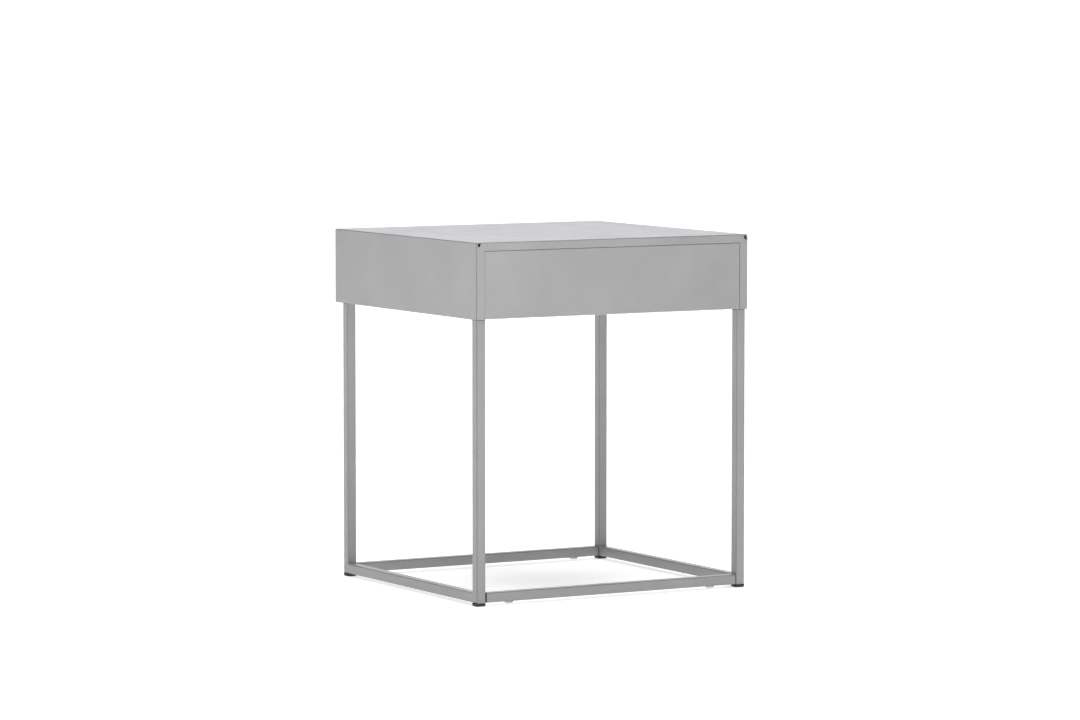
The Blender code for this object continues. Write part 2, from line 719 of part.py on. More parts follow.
def end_wall(name, face_y, flange, top, group, paint, screws=()):
    """A drawer end whose top and bottom edges turn into the drawer by flange."""
    half_width = TRAY_X - THIN_SHEET - FIT
    low = TRAY_BOTTOM + THIN_SHEET + FIT + THIN_SHEET / 2
    high = top - THIN_SHEET / 2
    path = ((face_y + flange, high), (face_y, high), (face_y, low), (face_y + flange, low))
    outline = folded_outline(path, THIN_SHEET)
    wall = place(name, mesh_of(prism(outline, 2 * half_width, "X"), name, paint), group)
    hem_x = TRAY_X - 2 * THIN_SHEET - HEM_GAP - THIN_SHEET / 2 - FIT
    for side in (-1, 1):
        low_x, high_x = sorted((side * hem_x, side * WIDTH / 2))
        near, far = sorted((face_y - math.copysign(BEYOND, flange), face_y + 2 * flange))
        cut_box(wall, (low_x, near, TRAY_TOP - HEM - 2 * THIN_SHEET), (high_x, far, HEIGHT))
        for z in screws:
            cut_hole(wall, (side * FRONT_SCREW_X, face_y, z), M4_HOLE, 4 * SHEET, "Y")


def drawer_screws(group, metal):
    """Screws driven from inside the drawer, into its front and into the slides."""
    front_screw = pan_screw("front_screw", 0.0030, metal)
    slide_screw = pan_screw("drawer_slide_screw", 0.0035, metal)
    inside_front = TRAY_FRONT_Y + THIN_SHEET + FIT
    inside_side = TRAY_X - THIN_SHEET - FIT
    for side, sign in (("left", -1), ("right", 1)):
        for level, z in zip(("low", "high"), FRONT_SCREW_Z):
            where = (sign * FRONT_SCREW_X, inside_front, z)
            place(f"front_screw_{level}_{side}", front_screw, group, where, (-90, 0, 0))
        for end, y in (("front", -SLIDE_HOLE_Y), ("back", SLIDE_HOLE_Y)):
            where = (sign * inside_side, SLIDE_Y + y, SLIDE_Z)
            place(f"drawer_slide_screw_{end}_{side}", slide_screw, group, where, (0, -sign * 90, 0))


# ---------------------------------------------------------------- assembly

def build():
    clear_scene()
    paint = finish("light_grey_powder_coat", (0.42, 0.42, 0.424), 0.40, 0.0)
    frame_paint = finish("light_grey_frame_coat", (0.405, 0.402, 0.397), 0.42, 0.0)
    zinc = finish("zinc_plated_steel", (0.66, 0.67, 0.69), 0.30, 1.0)
    black = finish("black_plastic", (0.03, 0.03, 0.03), 0.55, 0.0)

    table = body("table")
    case_shell(table, paint)
    back_panel(table, paint)
    bottom_panel(table, paint)
    slide_brackets(table, paint)
    legs(table, frame_paint)
    side_rails(table, frame_paint)
    crossbars(table, frame_paint)
    feet(table, black)
    frame_fasteners(table, zinc)
    outer_members(table, zinc)

    middle_members(slide_bodies("middle"), zinc)
    ball_cage("ball_cage_outer", OUTER_CAGE_SECTION, OUTER_BALL, slide_bodies("outer_cage"), zinc)
    ball_cage("ball_cage_inner", INNER_CAGE_SECTION, INNER_BALL, slide_bodies("inner_cage"), zinc)

    drawer = body("drawer", (0, -DEPTH / 2, SLIDE_Z))
    drawer_front(drawer, paint)
    drawer_tray(drawer, paint)
    front_y, back_y = TRAY_FRONT_Y + THIN_SHEET / 2, TRAY_BACK_Y - THIN_SHEET / 2
    end_wall("drawer_inner_front", front_y, WALL_FLANGE, TRAY_FRONT_TOP, drawer, paint, FRONT_SCREW_Z)
    end_wall("drawer_back", back_y, -WALL_FLANGE, TRAY_TOP, drawer, paint)
    drawer_screws(drawer, zinc)
    inner_members(drawer, zinc)
    for side, sign in (("left", -1), ("right", 1)):
        pivot = body(f"lever_pivot_{side}", (sign * SLIDE_X, LEVER_Y, SLIDE_Z))
        release_lever(f"release_lever_{side}", sign, pivot, black)


build()
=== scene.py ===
"""Looks of the side table: satin powder-coated steel, zinc-plated hardware and black plastic.

The front faces -Y and +Z is up. Lengths are in metres, and places come from the CAD nodes' boxes.
"""

import json
import math

import bmesh
import bpy
from mathutils import Matrix, Vector


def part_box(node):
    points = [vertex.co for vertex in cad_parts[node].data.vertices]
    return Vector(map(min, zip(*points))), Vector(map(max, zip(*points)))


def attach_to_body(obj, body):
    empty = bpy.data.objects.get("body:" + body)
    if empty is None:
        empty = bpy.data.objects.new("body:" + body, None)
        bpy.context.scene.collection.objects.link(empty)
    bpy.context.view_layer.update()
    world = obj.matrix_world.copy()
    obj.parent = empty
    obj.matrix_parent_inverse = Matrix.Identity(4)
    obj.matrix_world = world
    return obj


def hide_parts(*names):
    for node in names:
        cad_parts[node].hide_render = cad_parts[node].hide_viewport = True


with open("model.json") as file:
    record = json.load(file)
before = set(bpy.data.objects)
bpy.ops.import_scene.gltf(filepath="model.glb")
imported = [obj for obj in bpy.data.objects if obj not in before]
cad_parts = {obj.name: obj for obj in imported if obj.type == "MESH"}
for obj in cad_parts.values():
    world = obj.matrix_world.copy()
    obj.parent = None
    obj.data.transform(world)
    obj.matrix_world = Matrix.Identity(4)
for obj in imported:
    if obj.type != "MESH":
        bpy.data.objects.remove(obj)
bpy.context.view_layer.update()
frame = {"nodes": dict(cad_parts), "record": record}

SIDES = (("left", -1), ("right", 1))
ENDS = ("front", "back")

# Material slots of the record
CASE_COAT = "light_grey_powder_coat"
FRAME_COAT = "light_grey_frame_coat"
ZINC = "zinc_plated_steel"
PLASTIC = "black_plastic"

# Shapes that the looks need and a node's box doesn't give
SHEET = 0.0012
CAGE_SHEET = 0.0006
BEND = 0.0016  # outer radius of the case's folds
BEND_STEPS = 10
BEND_FADE = 0.08  # how far a normal leans from square before its face is all bend
SHARP = math.radians(32)  # edges that turn more than this stay sharp, or are rounded by soften
FRONT_GAP = 0.0003  # between the drawer front and its opening
BAR_GAP = 0.0008  # between a crossbar's end and the leg
PAINTED_SHADOW_LINE = 0.0012  # width of the painted shadow line on a leg just under the case's lower edge
TUBE = 0.0150
TUBE_WALL = 0.0012
TUBE_CORNER = 0.0019
WELD_FILLET = 0.0016
CUT_EDGE = 0.00018  # how far the coat rounds a cut edge
CLEAR = 0.0100  # how far a cutter runs past an open face
HEAD = 0.0023  # height of a pan-head screw's head
FIXING = 0.150  # where the slides' screws and rivets are, from the middle of the slide


# ------------------------------------------------------------------ outlines

def circle(radius, steps=48):
    """Points on a circle, counter-clockwise."""
    angles = (2 * math.pi * n / steps for n in range(steps))
    return [(radius * math.cos(a), radius * math.sin(a)) for a in angles]


def rounded_square(side, radius, steps=7):
    """Points on a square with round corners, counter-clockwise."""
    half = side / 2 - radius
    points = []
    for quarter, (cx, cy) in enumerate(((half, half), (-half, half), (-half, -half), (half, -half))):
        for step in range(steps + 1):
            angle = math.pi / 2 * (quarter + step / steps)
            points.append((cx + radius * math.cos(angle), cy + radius * math.sin(angle)))
    return points


def teardrop(radius, tail_radius, length, steps=12):
    """Outline around a circle at 0 and a smaller one at length along the first axis."""
    lean = math.acos((radius - tail_radius) / length)
    points = []
    arcs = ((radius, 0, lean, 2 * math.pi - 2 * lean), (tail_radius, length, -lean, 2 * lean))
    for size, offset, start, turn in arcs:
        for step in range(steps + 1):
            angle = start + turn * step / steps
            points.append((offset + size * math.cos(angle), size * math.sin(angle)))
    return points


def folded_outline(path, thickness, steps=6):
    """Closed outline of a sheet whose middle follows path, with a round bend at each corner."""
    sides = {1: [], -1: []}
    points = [Vector(p) for p in path]
    for side, outline in sides.items():
        offset = side * thickness / 2
        start = (points[1] - points[0]).normalized()
        end = (points[-1] - points[-2]).normalized()
        outline.append(points[0] + offset * Vector((-start.y, start.x)))
        for before, corner, after in zip(points, points[1:], points[2:]):
            into = (corner - before).normalized()
            out = (after - corner).normalized()
            turn = math.atan2(into.cross(out), into.dot(out))
            left = math.copysign(1, turn)
            tangent = corner - into * thickness * math.tan(abs(turn) / 2)
            centre = tangent + left * thickness * Vector((-into.y, into.x))
            spoke = (tangent - centre) * (thickness - left * offset) / thickness
            for step in range(steps + 1):
                outline.append(centre + Matrix.Rotation(turn * step / steps, 2) @ spoke)
        outline.append(points[-1] + offset * Vector((-end.y, end.x)))
    return [tuple(p) for p in sides[1] + sides[-1][::-1]]


# -------------------------------------------------------------------- solids

AXES = {
    "X": lambda a, b, along: (along, a, b),
    "Y": lambda a, b, along: (a, along, b),
    "Z": lambda a, b, along: (a, b, along),
}


def skin(bm, ring, other):
    """Faces between two rings with the same number of vertices."""
    for n in range(len(ring)):
        bm.faces.new((ring[n - 1], ring[n], other[n], other[n - 1]))


def loft(sections, axis="Z"):
    """Solid through sections, each a ring of points and its place along the axis."""
    bm = bmesh.new()
    rings = [[bm.verts.new(AXES[axis](a, b, along)) for a, b in points] for points, along in sections]
    for ring, other in zip(rings, rings[1:]):
        skin(bm, ring, other)
    bm.faces.new(rings[0])
    bm.faces.new(rings[-1])
    return bm


def prism(outline, length, axis):
    return loft(((outline, -length / 2), (outline, length / 2)), axis)


def lathe(profile):
    """Turned solid from (radius, height) points."""
    return loft([(circle(radius), height) for radius, height in profile])


def box(size):
    bm = bmesh.new()
    bmesh.ops.create_cube(bm, size=1)
    bmesh.ops.scale(bm, verts=bm.verts, vec=size)
    return bm


def folded_box(size, radius, bent, steps=BEND_STEPS):
    """A box with a round edge wherever two of its bent faces meet."""
    bm = box(size)
    directions = [Vector(direction) for direction in bent]
    edges = [
        edge
        for edge in bm.edges
        if all(any(face.normal.dot(d) > 0.9 for d in directions) for face in edge.link_faces)
    ]
    bmesh.ops.bevel(
        bm, geom=edges, offset=radius, segments=steps, profile=0.5, affect="EDGES", clamp_overlap=True
    )
    return bm


# -------------------------------------------------------------------- pieces

def mesh_of(bm, name, material):
    bmesh.ops.recalc_face_normals(bm, faces=bm.faces)
    mesh = bpy.data.meshes.new(name)
    bm.to_mesh(mesh)
    bm.free()
    mesh.materials.append(material)
    mesh.shade_smooth()
    mesh.set_sharp_from_angle(angle=SHARP)
    return mesh


def place(name, data, location=(0, 0, 0), rotation=(0, 0, 0)):
    """A new object that shows data, at a place in the table's frame, turned by degrees."""
    obj = bpy.data.objects.new(name, data)
    bpy.context.scene.collection.objects.link(obj)
    obj.location = location
    obj.rotation_euler = [math.radians(angle) for angle in rotation]
    return obj


def attach(obj, body, slot, *nodes):
    """Makes obj part of a CAD body, in place of these CAD nodes."""
    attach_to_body(obj, body)
    if nodes:
        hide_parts(*nodes)
    return obj


def cut(obj, bm, location, rotation=(0, 0, 0)):
    """Marks the shape bm to be cut out of obj, when obj is baked."""
    helper = place(f"{obj.name}_cutter", mesh_of(bm, "cutter", obj.data.materials[0]), location, rotation)
    helper.hide_render = True
    modifier = obj.modifiers.new("Cut", "BOOLEAN")
    modifier.operation = "DIFFERENCE"
    modifier.solver = "EXACT"
    modifier.object = helper


def cut_box(obj, low, high):
    low, high = Vector(low), Vector(high)
    cut(obj, box(high - low), (low + high) / 2)


def bake(obj):
    """Applies the cuts and removes their helpers."""
    graph = bpy.context.evaluated_depsgraph_get()
    baked = bpy.data.meshes.new_from_object(obj.evaluated_get(graph))
    helpers = [modifier.object for modifier in obj.modifiers]
    obj.modifiers.clear()
    obj.data = baked
    for helper in helpers:
        bpy.data.objects.remove(helper, do_unlink=True)
    baked.shade_smooth()
    baked.set_sharp_from_angle(angle=SHARP)
    return obj


def soften(obj, width=CUT_EDGE, segments=2):
    """Rounds the cut edges, as a coat or plating does, and keeps the flat faces flat."""
    weld = obj.modifiers.new("Weld", "WELD")
    weld.merge_threshold = 0.00001
    bevel = obj.modifiers.new("CutEdges", "BEVEL")
    bevel.width = width
    bevel.segments = segments
    bevel.limit_method = "ANGLE"
    bevel.angle_limit = SHARP
    bevel.use_clamp_overlap = True
    bevel.harden_normals = False
    normals = obj.modifiers.new("Normals", "WEIGHTED_NORMAL")
    normals.keep_sharp = False
    return obj


def mark_bends(obj):
    """Gives each face a bend attribute, 0 where it is square to the table and 1 well round a bend, which
    the coats use to paint shade on bends.
    """
    values = [(1 - max(map(abs, face.normal))) / BEND_FADE for face in obj.data.polygons]
    bend = obj.data.attributes.new("bend", "FLOAT", "FACE")
    bend.data.foreach_set("value", [min(value, 1.0) for value in values])
    return obj


def centre(node):
    low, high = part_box(node)
    return (low + high) / 2


# ----------------------------------------------------------------- materials

class Shader:
    """A Principled material whose textures all read one object-space position."""

    def __init__(self, name, colour, roughness, metallic=0.0, specular=0.5):
        self.material = bpy.data.materials.new(name)
        self.material.use_nodes = True
        self.tree = self.material.node_tree
        self.surface = self.tree.nodes["Principled BSDF"]
        self.surface.inputs["Base Color"].default_value = (*colour, 1)
        self.surface.inputs["Roughness"].default_value = roughness
        self.surface.inputs["Metallic"].default_value = metallic
        self.surface.inputs["Specular IOR Level"].default_value = specular
        self.position = self.tree.nodes.new("ShaderNodeTexCoord").outputs["Object"]

    def node(self, kind, **values):
        made = self.tree.nodes.new(kind)
        for key, value in values.items():
            setattr(made, key, value)
        return made

    def link(self, source, target):
        self.tree.links.new(source, target)

    def noise(self, size, detail=2.0, roughness=0.5, stretch=(1, 1, 1)):
        """Noise from 0 to 1 whose features are about size metres across."""
        mapping = self.node("ShaderNodeMapping")
        mapping.inputs["Scale"].default_value = stretch
        self.link(self.position, mapping.inputs["Vector"])
        texture = self.node("ShaderNodeTexNoise")
        texture.inputs["Scale"].default_value = 1 / size
        texture.inputs["Detail"].default_value = detail
        texture.inputs["Roughness"].default_value = roughness
        self.link(mapping.outputs["Vector"], texture.inputs["Vector"])
        return texture.outputs["Fac"]

    def cells(self, size, smooth=1.0):
        """Soft cells about size metres across, as in a sprayed or sintered surface."""
        texture = self.node("ShaderNodeTexVoronoi", feature="SMOOTH_F1")
        texture.inputs["Scale"].default_value = 1 / size
        texture.inputs["Smoothness"].default_value = smooth
        self.link(self.position, texture.inputs["Vector"])
        return texture.outputs["Distance"]

    def spread(self, source, low, high, start=0.3, stop=0.7):
        """Maps source from start..stop to low..high."""
        ranged = self.node("ShaderNodeMapRange")
        ranged.inputs["From Min"].default_value = start
        ranged.inputs["From Max"].default_value = stop
        ranged.inputs["To Min"].default_value = low
        ranged.inputs["To Max"].default_value = high
        self.link(source, ranged.inputs["Value"])
        return ranged.outputs["Result"]

    def add(self, first, second):
        total = self.node("ShaderNodeMath", operation="ADD")
        self.link(first, total.inputs[0])
        self.link(second, total.inputs[1])
        return total.outputs["Value"]

    def tint(self, source, low, high):
        """Base colour that runs from low to high with source."""
        mix = self.node("ShaderNodeMix", data_type="RGBA")
        mix.inputs["A"].default_value = (*low, 1)
        mix.inputs["B"].default_value = (*high, 1)
        self.link(source, mix.inputs["Factor"])
        self.link(mix.outputs["Result"], self.surface.inputs["Base Color"])
        return mix.outputs["Result"]

    def tint_where(self, factor, source, colour):
        """Base colour that turns from source to colour as factor goes from 0 to 1."""
        mix = self.node("ShaderNodeMix", data_type="RGBA")
        self.link(source, mix.inputs["A"])
        mix.inputs["B"].default_value = (*colour, 1)
        self.link(factor, mix.inputs["Factor"])
        self.link(mix.outputs["Result"], self.surface.inputs["Base Color"])
        return mix.outputs["Result"]

    def bends(self):
        """1 on faces that mark_bends found well round a bend, 0 on flat ones."""
        return self.node("ShaderNodeAttribute", attribute_name="bend").outputs["Fac"]

    def level_line(self, low, high):
        """1 between two heights in the object's frame, 0 elsewhere."""
        parts = self.node("ShaderNodeSeparateXYZ")
        self.link(self.position, parts.inputs["Vector"])
        within = self.node("ShaderNodeMath", operation="COMPARE")
        self.link(parts.outputs["Z"], within.inputs[0])
        within.inputs[1].default_value = (low + high) / 2
        within.inputs[2].default_value = (high - low) / 2
        return within.outputs["Value"]

    def relief(self, height, depth):
        """Bump in which height from 0 to 1 stands for depth metres."""
        bump = self.node("ShaderNodeBump")
        bump.inputs["Strength"].default_value = 1.0
        bump.inputs["Distance"].default_value = depth
        self.link(height, bump.inputs["Height"])
        self.link(bump.outputs["Normal"], self.surface.inputs["Normal"])


def powder_coat(name, colour, roughness, cloud, bend_shade, shadow_height=None):
    """Satin powder coat: orange peel, fine grain, faint clouds, and painted shade on the bends, which are
    darkened in colour.

    The optional height is where a thin painted shadow starts, running round the piece just below it, as
    shade under the case's lower edge.
    """
    shader = Shader(name, colour, roughness, specular=0.5)
    clouds = shader.add(
        shader.spread(shader.noise(0.075, detail=3), 0.0, 0.7),
        shader.spread(shader.noise(0.0009, detail=1), 0.0, 0.3),
    )
    flat = shader.tint(clouds, [c * (1 - cloud) for c in colour], [c * (1 + cloud) for c in colour])
    if shadow_height is not None:
        # painted shadow: a thin band just below the case's lower edge, darkened to 0.28 of the coat colour
        line = shader.level_line(shadow_height - PAINTED_SHADOW_LINE, shadow_height)
        flat = shader.tint_where(line, flat, [c * 0.28 for c in colour])
    # painted shade: faces round a bend take a darker copy of the coat colour
    shader.tint_where(shader.bends(), flat, [c * bend_shade for c in colour])
    shader.link(
        shader.spread(shader.noise(0.060, detail=4), roughness - 0.04, roughness + 0.04),
        shader.surface.inputs["Roughness"],
    )
    peel = shader.add(
        shader.spread(shader.cells(0.0016), 0.0, 0.75, 0.0, 0.8),
        shader.spread(shader.noise(0.0005), 0.0, 0.25),
    )
    shader.relief(peel, 0.00003)
    return shader.material


def zinc_plate(name, colour, roughness, grain=(1, 0.06, 1)):
    """Zinc-plated steel: drawn grain along Y, with passivated patches a little warmer and cooler."""
    shader = Shader(name, colour, roughness, metallic=1.0)
    patches = shader.spread(shader.noise(0.014, detail=4), 0.0, 1.0)
    cool = (colour[0] * 0.93, colour[1] * 0.97, colour[2] * 1.02)
    warm = (colour[0] * 1.04, colour[1] * 1.02, colour[2] * 0.95)
    shader.tint(patches, cool, warm)
    streaks = shader.noise(0.0007, detail=3, stretch=grain)
    shader.link(
        shader.spread(streaks, roughness - 0.07, roughness + 0.09),
        shader.surface.inputs["Roughness"],
    )
    shader.relief(streaks, 0.00002)
    return shader.material


def moulded_plastic(name, colour, roughness):
    """Black moulded plastic with a fine spark-eroded texture and paler rub marks."""
    shader = Shader(name, colour, roughness, specular=0.4)
    rubbed = shader.spread(shader.noise(0.004, detail=5, roughness=0.65), 0.0, 1.0, 0.45, 0.8)
    shader.tint(rubbed, colour, [c * 1.9 for c in colour])
    grain = shader.noise(0.00025, detail=2)
    shader.link(shader.spread(grain, roughness - 0.06, roughness + 0.1), shader.surface.inputs["Roughness"])
    shader.relief(grain, 0.00003)
    return shader.material


case_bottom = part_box("casing_shell")[0].z
# the last number of each coat sets how dark its painted shade on bends is
case_coat = powder_coat("case_powder_coat", (0.366, 0.361, 0.362), 0.36, 0.070, 0.66)
# the frame coat also paints a thin shadow on the legs just under the case's bottom edge
frame_coat = powder_coat("frame_powder_coat", (0.346, 0.340, 0.331), 0.38, 0.060, 0.76, case_bottom)
zinc = zinc_plate("zinc_plate", (0.58, 0.59, 0.61), 0.30)
bolt_zinc = zinc_plate("bolt_zinc", (0.64, 0.64, 0.64), 0.34, grain=(1, 1, 1))
ball_steel = zinc_plate("ball_steel", (0.70, 0.70, 0.71), 0.12, grain=(1, 1, 1))
plastic = moulded_plastic("foot_plastic", (0.030, 0.030, 0.031), 0.52)
bare_steel = zinc_plate("blackened_steel", (0.085, 0.083, 0.080), 0.50)


# ---------------------------------------------------------------------- case

LEFT, RIGHT, FRONT, BACK, UP, DOWN = (-1, 0, 0), (1, 0, 0), (0, -1, 0), (0, 1, 0), (0, 0, 1), (0, 0, -1)


def case_skin():
    """The folded case, with the open slots where the bends of its front corners meet."""
    low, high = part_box("casing_shell")
    front_low, front_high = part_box("drawer_front")
    shell = place(
        "case_skin",
        mesh_of(folded_box(high - low, BEND, (LEFT, RIGHT, FRONT, UP)), "case_skin", case_coat),
        (low + high) / 2,
    )
    inner_low = Vector((low.x + SHEET, low.y + SHEET, low.z - CLEAR))
    inner_high = Vector((high.x - SHEET, high.y + CLEAR, high.z - SHEET))
    hollow = folded_box(inner_high - inner_low, BEND - SHEET, (LEFT, RIGHT, FRONT, UP))
    cut(shell, hollow, (inner_low + inner_high) / 2)
    cut_box(
        shell,
        (front_low.x - FRONT_GAP, low.y - CLEAR, low.z - CLEAR),
        (front_high.x + FRONT_GAP, low.y + 2 * SHEET, front_high.z + FRONT_GAP),
    )
    for side in (-1, 1):
        where = (side * (high.x - 0.0046), low.y, high.z - 0.0040)
        cut(shell, prism(teardrop(0.0023, 0.0013, 0.0036), 3 * SHEET, "Y"), where, (0, side * 62, 0))
    attach(soften(mark_bends(bake(shell))), "table", CASE_COAT, "casing_shell")


def front_skin():
    """The drawer front, folded back on all sides, with lips behind that take the screws."""
    low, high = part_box("drawer_front")
    bent = (LEFT, RIGHT, FRONT, BACK, UP, DOWN)
    skin_mesh = mesh_of(folded_box(high - low, 0.75 * BEND, bent, 8), "drawer_front_skin", case_coat)
    front = place("drawer_front_skin", skin_mesh, (low + high) / 2)
    cut_box(front, low + Vector((SHEET,) * 3), high - Vector((SHEET,) * 3))
    window_low = Vector((low.x + SHEET, high.y - 2 * SHEET, low.z + 0.036))
    cut_box(front, window_low, (high.x - SHEET, high.y + CLEAR, high.z - 0.019))
    leg_low, leg_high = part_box("leg_front_right")
    notch = leg_low.x - 0.0010
    for side in (-1, 1):
        low_x, high_x = sorted((side * notch, side * (high.x + CLEAR)))
        notch_low = (low_x, low.y + SHEET + 0.00015, low.z - CLEAR)
        cut_box(front, notch_low, (high_x, high.y + CLEAR, leg_high.z + 0.0010))
    attach(soften(bake(front)), "drawer", CASE_COAT, "drawer_front")


# --------------------------------------------------------------- tube frames

def side_frame(side):
    """Two legs and two rails welded into one frame; the welds are ground flush outside."""
    legs = [f"leg_{end}_{side}" for end in ENDS]
    rails = [f"bottom_rail_{side}", f"top_rail_{side}"]
    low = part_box(legs[0])[0]
    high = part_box(legs[1])[1]
    window_low = Vector((low.x, low.y + TUBE, low.z + TUBE))
    window_high = Vector((high.x, high.y - TUBE, high.z - TUBE))
    bm = bmesh.new()
    corners = ((0, 0), (1, 0), (1, 1), (0, 1))
    rings = []
    for a, b in ((low, high), (window_low, window_high)):
        rings.append([bm.verts.new((low.x, (a.y, b.y)[i], (a.z, b.z)[j])) for i, j in corners])
    skin(bm, *rings)
    made = bmesh.ops.extrude_face_region(bm, geom=bm.faces[:])
    bmesh.ops.translate(
        bm, vec=(high.x - low.x, 0, 0), verts=[v for v in made["geom"] if isinstance(v, bmesh.types.BMVert)]
    )
    bmesh.ops.recalc_face_normals(bm, faces=bm.faces)
    inner = [
        edge
        for edge in bm.edges
        if abs((edge.verts[0].co - edge.verts[1].co).x) > TUBE / 2
        and all(low.y + TUBE / 2 < v.co.y < high.y - TUBE / 2 for v in edge.verts)
    ]
    bmesh.ops.bevel(bm, geom=inner, offset=WELD_FILLET, segments=5, profile=0.5, affect="EDGES")
    rims = [edge for edge in bm.edges if edge.calc_face_angle(0) > math.radians(60)]
    rims = [edge for edge in rims if abs((edge.verts[0].co - edge.verts[1].co).x) < TUBE / 2]
    bmesh.ops.bevel(bm, geom=rims, offset=TUBE_CORNER, segments=6, profile=0.5, affect="EDGES")
    welded = place(f"side_frame_{side}", mesh_of(bm, f"side_frame_{side}", frame_coat))
    for end in ENDS:
        bolt = centre(f"frame_bolt_{end}_{side}")
        depth = TUBE - TUBE_WALL
        cut(welded, prism(circle(0.0062), 2 * depth, "Z"), (bolt.x, bolt.y, high.z - TUBE))
    attach(soften(mark_bends(bake(welded))), "table", FRAME_COAT, *legs, *rails)


def crossbar(end):
    """A bar that slips over its spigots, so its open ends show a thin gap at the legs."""
    node = f"crossbar_{end}"
    low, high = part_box(node)
    bm = bmesh.new()
    ends = []
    for x in (low.x + BAR_GAP, high.x - BAR_GAP):
        outer = [bm.verts.new((x, y, z)) for y, z in rounded_square(TUBE, TUBE_CORNER)]
        bore = rounded_square(TUBE - 2 * TUBE_WALL, TUBE_CORNER - TUBE_WALL)
        inner = [bm.verts.new((x, y, z)) for y, z in bore]
        skin(bm, outer, inner)
        ends.append((outer, inner))
    for ring, other in zip(*ends):
        skin(bm, ring, other)
    middle = (low + high) / 2
    bar = place(f"{node}_skin", mesh_of(bm, f"{node}_skin", frame_coat), (0, middle.y, middle.z))
    attach(soften(mark_bends(bar)), "table", FRAME_COAT, node)


def glide(end, side):
    """Foot glide: a swelled pad with a soft rim, a hollow sole and a plug inside the tube."""
    node = f"foot_{end}_{side}"
    low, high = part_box(node)
    pad = high.x - low.x
    top = 0.0047
    profile = (
        (0.45 * pad, 0.0009), (0.46 * pad, 0.0000), (0.82 * pad, 0.0000), (0.90 * pad, 0.0003),
        (0.96 * pad, 0.0010), (0.99 * pad, 0.0018), (1.00 * pad, 0.0026), (1.00 * pad, 0.0038),
        (0.985 * pad, 0.0044), (0.96 * pad, top), (0.74 * pad, top), (0.74 * pad, high.z - 0.001),
        (0.70 * pad, high.z),
    )
    sections = [(rounded_square(width, 0.16 * width), z) for width, z in profile]
    mesh = mesh_of(loft(sections), f"glide_{end}_{side}", plastic)
    middle = (low + high) / 2
    obj = place(f"glide_{end}_{side}", mesh, (middle.x, middle.y, 0))
    attach(obj, "table", PLASTIC, node)


# ------------------------------------------------------------------ hardware

def hexagon_cutter(across, depth):
    """A hexagon socket with a drilled cone at its bottom."""
    radius = across / math.sqrt(3)
    tip, wall, mouth = (circle(scale * radius, 6) for scale in (0.15, 1, 1.02))
    return loft(((tip, -1.3 * depth), (wall, -depth), (wall, depth), (mouth, 1.1 * depth)))


def cross_cutter(width, blade, depth):
    """Two tapered blades of a cross recess."""
    corners = ((-1, -1), (1, -1), (1, 1), (-1, 1))
    top, bottom = ([(a * half, b * blade / 2) for a, b in corners] for half in (width / 2, width / 5))
    return loft(((bottom, -depth), (top, 0.3 * depth)))


def button_head(name, radius, height, length, shank):
    """Button-head bolt with a hexagon socket; its head is above z = 0."""
    dome = [
        (radius * (0.42 + 0.58 * math.sin(a)), height * (0.30 + 0.70 * math.cos(a)))
        for a in (math.pi / 2 * n / 9 for n in range(10))
    ]
    profile = [*dome, (radius, 0.0003), (0.97 * radius, 0.0), (shank, 0.0), (shank, -length)]
    bolt = place(name, mesh_of(lathe(profile), name, bolt_zinc))
    cut(bolt, hexagon_cutter(0.0040, 0.62 * height), (0, 0, height))
    return soften(bake(bolt), 0.00012)


def pan_head(name, radius, height, length, shank):
    """Pan-head screw with a cross recess; its head is above z = 0."""
    profile = [
        (0.30 * radius, height), (0.62 * radius, 0.97 * height), (0.86 * radius, 0.80 * height),
        (0.97 * radius, 0.52 * height), (radius, 0.22 * height), (radius, 0.0002), (0.96 * radius, 0.0),
        (shank, 0.0), (shank, -length),
    ]
    screw = place(name, mesh_of(lathe(profile), name, bolt_zinc))
    for turn in (0, 90):
        cut(screw, cross_cutter(1.05 * radius, 0.19 * radius, 0.7 * height), (0, 0, height), (0, 0, turn))
    return soften(bake(screw), 0.00008)


def bolts():
    """Bolts under the crossbars and under the case."""
    for kind, radius in (("crossbar_bolt", 0.0068), ("frame_bolt", 0.00525)):
        for end in ENDS:
            for side, _ in SIDES:
                node = f"{kind}_{end}_{side}"
                low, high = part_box(node)
                height = 0.0033
                bolt = button_head(f"{node}_hex", radius, height, high.z - low.z - height, 0.0029)
                bolt.location = ((low.x + high.x) / 2, (low.y + high.y) / 2, low.z + height)
                bolt.rotation_euler = (math.pi, 0, math.radians(23 * len(end) + 17 * len(side)))
                attach(bolt, "table", ZINC, node)


def screws():
    """Screws that hold the drawer's front and its slides."""
    for side, sign in SIDES:
        for level in ("low", "high"):
            node = f"front_screw_{level}_{side}"
            low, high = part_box(node)
            screw = pan_head(f"{node}_cross", 0.0040, HEAD, 0.0030, 0.0019)
            screw.location = ((low.x + high.x) / 2, high.y - HEAD, (low.z + high.z) / 2)
            screw.rotation_euler = (math.radians(-90), math.radians(31 * len(level)), 0)
            attach(screw, "drawer", ZINC, node)
        for end in ENDS:
            node = f"drawer_slide_screw_{end}_{side}"
            low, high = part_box(node)
            screw = pan_head(f"{node}_cross", 0.0040, HEAD, 0.0035, 0.0019)
            inner = (low.x if sign > 0 else high.x) + sign * HEAD
            screw.location = (inner, (low.y + high.y) / 2, (low.z + high.z) / 2)
            screw.rotation_euler = (0, math.radians(-sign * 90), 0)
            attach(screw, "drawer", ZINC, node)


# -------------------------------------------------------------------- slides

def slide_origin(side):
    """Middle of the back of a slide, where its sections have their origin."""
    low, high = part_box(f"slide_outer_{side}")
    return Vector((low.x if side == "left" else high.x, (low.y + high.y) / 2, (low.z + high.z) / 2))


def slide_strip(node, side, section, thickness):
    """A strip folded to a section given as (u, v) points above the middle."""
    low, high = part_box(node)
    path = [*section, *((u, -v) for u, v in reversed(section))]
    mesh = mesh_of(prism(folded_outline(path, thickness), high.y - low.y, "Y"), node, zinc)
    return place(f"{node}_skin", mesh, slide_origin(side), (0, 0, 0 if side == "left" else 180))


